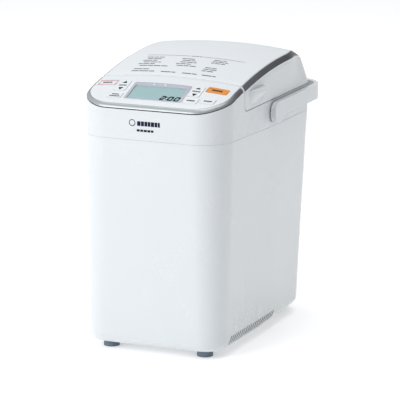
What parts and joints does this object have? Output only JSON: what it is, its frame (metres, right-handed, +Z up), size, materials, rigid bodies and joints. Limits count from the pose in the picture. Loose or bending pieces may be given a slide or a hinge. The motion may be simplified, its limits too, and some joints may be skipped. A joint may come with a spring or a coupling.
{
  "type": "bread machine",
  "caption": "Tall white bread machine with a sloping control panel, a domed rear-hinged lid, a folding carry handle and a driven kneading blade in a lift-out pan.",
  "frame": {"origin": "on the floor under the middle of the overall outline, feet resting at z = 0", "axes": "+Z up, -Y is the front with the control panel, +X is the machine's right side"},
  "size_m": [0.2098, 0.326, 0.346],
  "materials": {
    "white_plastic": "satin gloss white",
    "white_frame": "satin gloss white",
    "tray_plastic": "moulded matt light grey",
    "foot_rubber": "dark blue-grey rubber",
    "steel_fixings": "zinc-plated",
    "trim_silver": "silver metallic",
    "trim_grey": "dark metallic grey",
    "bezel_grey": "mauve grey",
    "window_clear": "clear",
    "display_green": "grey-green display",
    "board_green": "solder mask",
    "board_tan": "paper laminate",
    "key_white": "satin white",
    "key_orange": "orange",
    "liner_metal": "bright sheet",
    "oven_metal": "coated steel sheet",
    "gasket_rubber": "silicone",
    "heater_steel": "oxidised sheath",
    "pan_coat": "non-stick coat",
    "wire_steel": "bright wire",
    "drive_metal": "turned",
    "bush_bronze": "sintered bronze",
    "pulley_plastic": "moulded black",
    "belt_rubber": "ribbed belt",
    "motor_steel": "motor can",
    "fan_plastic": "moulded ivory",
    "chassis_steel": "galvanised sheet",
    "gland_black": "black"
  },
  "bodies": {
    "case": {"outer_case": "white_plastic", "upper_frame": "white_frame", "base_tray": "tray_plastic", "rubber_feet": "foot_rubber", "foot_screws": "steel_fixings", "case_screws": "steel_fixings", "control_panel": "white_plastic", "panel_trim": "trim_silver", "display_bezel": "bezel_grey", "display_window": "window_clear", "display_module": "display_green", "control_board": "board_green", "handle_pivots": "steel_fixings", "pivot_nuts": "steel_fixings", "hinge_pin": "steel_fixings", "oven_liner": "oven_metal", "oven_rim": "oven_metal", "heater_element": "heater_steel", "heater_clips": "oven_metal", "temperature_sensor": "drive_metal", "pan_socket": "drive_metal", "shaft_bearings": "bush_bronze", "drive_belt": "belt_rubber", "drive_motor": "motor_steel", "chassis_plate": "chassis_steel", "chassis_screws": "steel_fixings", "power_board": "board_tan", "cord_gland": "gland_black"},
    "lid": {"lid_cover": "white_plastic", "lid_trim": "trim_grey", "lid_frame": "white_plastic", "lid_liner": "liner_metal", "lid_gasket": "gasket_rubber", "lid_screws": "steel_fixings", "lift_tab_left": "white_plastic", "lift_tab_right": "white_plastic"},
    "handle": {"carry_handle": "white_plastic"},
    "cancel_button": {"cancel_key": "key_white"},
    "crust_button": {"crust_key": "key_white"},
    "start_button": {"start_key": "key_orange"},
    "timer_button": {"timer_key": "key_white"},
    "cycle_button": {"cycle_key": "key_white"},
    "course_lever": {"course_rocker": "key_white"},
    "time_lever": {"time_rocker": "key_white"},
    "pan": {"baking_pan": "pan_coat", "pan_bushing": "drive_metal"},
    "pan_bail": {"pan_handle": "wire_steel"},
    "kneader": {"kneader_shaft": "drive_metal"},
    "blade": {"kneading_blade": "pan_coat"},
    "drive": {"large_pulley": "pulley_plastic", "drive_shaft": "drive_metal", "drive_coupling": "drive_metal"},
    "motor_rotor": {"motor_shaft": "drive_metal", "motor_pulley": "drive_metal", "motor_fan": "fan_plastic"}
  },
  "joints": [
    {"name": "lid_hinge", "type": "hinge", "parent": "case", "child": "lid", "pos_m": [0, 0.141, 0.299], "axis": [-1, 0, 0], "range_deg": [0, 75]},
    {"name": "handle_swing", "type": "hinge", "parent": "case", "child": "handle", "pos_m": [0, 0.001, 0.2772], "axis": [1, 0, 0], "range_deg": [0, 90]},
    {"name": "cancel_press", "type": "slide", "parent": "case", "child": "cancel_button", "axis": [0, 0.3633, -0.9317], "range_m": [0, 0.0006], "stiffness_N_per_m": 1200, "springref_m": -0.0004},
    {"name": "crust_press", "type": "slide", "parent": "case", "child": "crust_button", "axis": [0, 0.3633, -0.9317], "range_m": [0, 0.0006], "stiffness_N_per_m": 1200, "springref_m": -0.0004},
    {"name": "start_press", "type": "slide", "parent": "case", "child": "start_button", "axis": [0, 0.3633, -0.9317], "range_m": [0, 0.0006], "stiffness_N_per_m": 1200, "springref_m": -0.0004},
    {"name": "timer_press", "type": "slide", "parent": "case", "child": "timer_button", "axis": [0, 0.3633, -0.9317], "range_m": [0, 0.0006], "stiffness_N_per_m": 1200, "springref_m": -0.0004},
    {"name": "cycle_press", "type": "slide", "parent": "case", "child": "cycle_button", "axis": [0, 0.3633, -0.9317], "range_m": [0, 0.0006], "stiffness_N_per_m": 1200, "springref_m": -0.0004},
    {"name": "course_rock", "type": "hinge", "parent": "case", "child": "course_lever", "pos_m": [-0.0515, -0.11868, 0.3171], "axis": [1, 0, 0], "range_deg": [-2.5, 2.5], "stiffness_Nm_per_rad": 0.25},
    {"name": "time_rock", "type": "hinge", "parent": "case", "child": "time_lever", "pos_m": [0.0455, -0.12018, 0.31651], "axis": [1, 0, 0], "range_deg": [-2.5, 2.5], "stiffness_Nm_per_rad": 0.25},
    {"name": "drive_spin", "type": "hinge", "parent": "case", "child": "drive", "pos_m": [0, 0.024, 0.06], "axis": [0, 0, 1], "continuous": true},
    {"name": "motor_spin", "type": "hinge", "parent": "case", "child": "motor_rotor", "pos_m": [0, -0.086, 0.06], "axis": [0, 0, 1], "continuous": true},
    {"name": "pan_lift", "type": "slide", "parent": "case", "child": "pan", "axis": [0, 0, 1], "range_m": [0, 0.015]},
    {"name": "pan_handle_swing", "type": "hinge", "parent": "pan", "child": "pan_bail", "pos_m": [0, 0.024, 0.255], "axis": [0, -1, 0], "range_deg": [0, 20]},
    {"name": "kneader_spin", "type": "hinge", "parent": "pan", "child": "kneader", "pos_m": [0, 0.024, 0.105], "axis": [0, 0, 1], "continuous": true},
    {"name": "blade_lift", "type": "slide", "parent": "kneader", "child": "blade", "axis": [0, 0, 1], "range_m": [0, 0.012]}
  ],
  "couplings": [
    {"joint": "motor_spin", "follows": "drive_spin", "ratio": 6},
    {"joint": "kneader_spin", "follows": "drive_spin", "ratio": 1}
  ]
}
